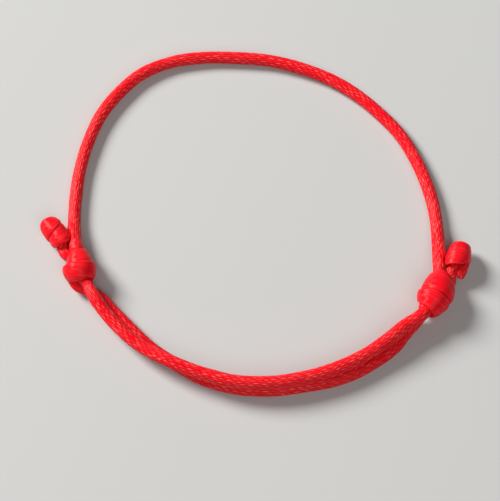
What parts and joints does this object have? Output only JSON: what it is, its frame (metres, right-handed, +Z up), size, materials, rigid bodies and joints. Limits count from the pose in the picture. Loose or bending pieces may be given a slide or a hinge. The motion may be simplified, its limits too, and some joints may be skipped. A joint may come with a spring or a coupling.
{
  "type": "kabbalah bracelet",
  "caption": "Red satin cord bracelet, a loop closed by two sliding knots, with an end knot on each short tail.",
  "frame": {"origin": "middle of the bracelet's box, on the surface it lies on", "axes": "+Z up from the surface, +X to the right along the loop's longer way, +Y from the doubled section to the far side of the loop"},
  "size_m": [0.0692, 0.0618, 0.0052],
  "materials": {
    "satin_cord": "satin woven cord, soft lengthwise sheen"
  },
  "bodies": {
    "root": {"wrist_cord": "satin_cord", "lower_strand": "satin_cord", "upper_strand": "satin_cord", "left_sliding_knot": "satin_cord", "right_sliding_knot": "satin_cord", "left_tail": "satin_cord", "right_tail": "satin_cord", "left_end_knot": "satin_cord", "right_end_knot": "satin_cord"}
  },
  "joints": []
}
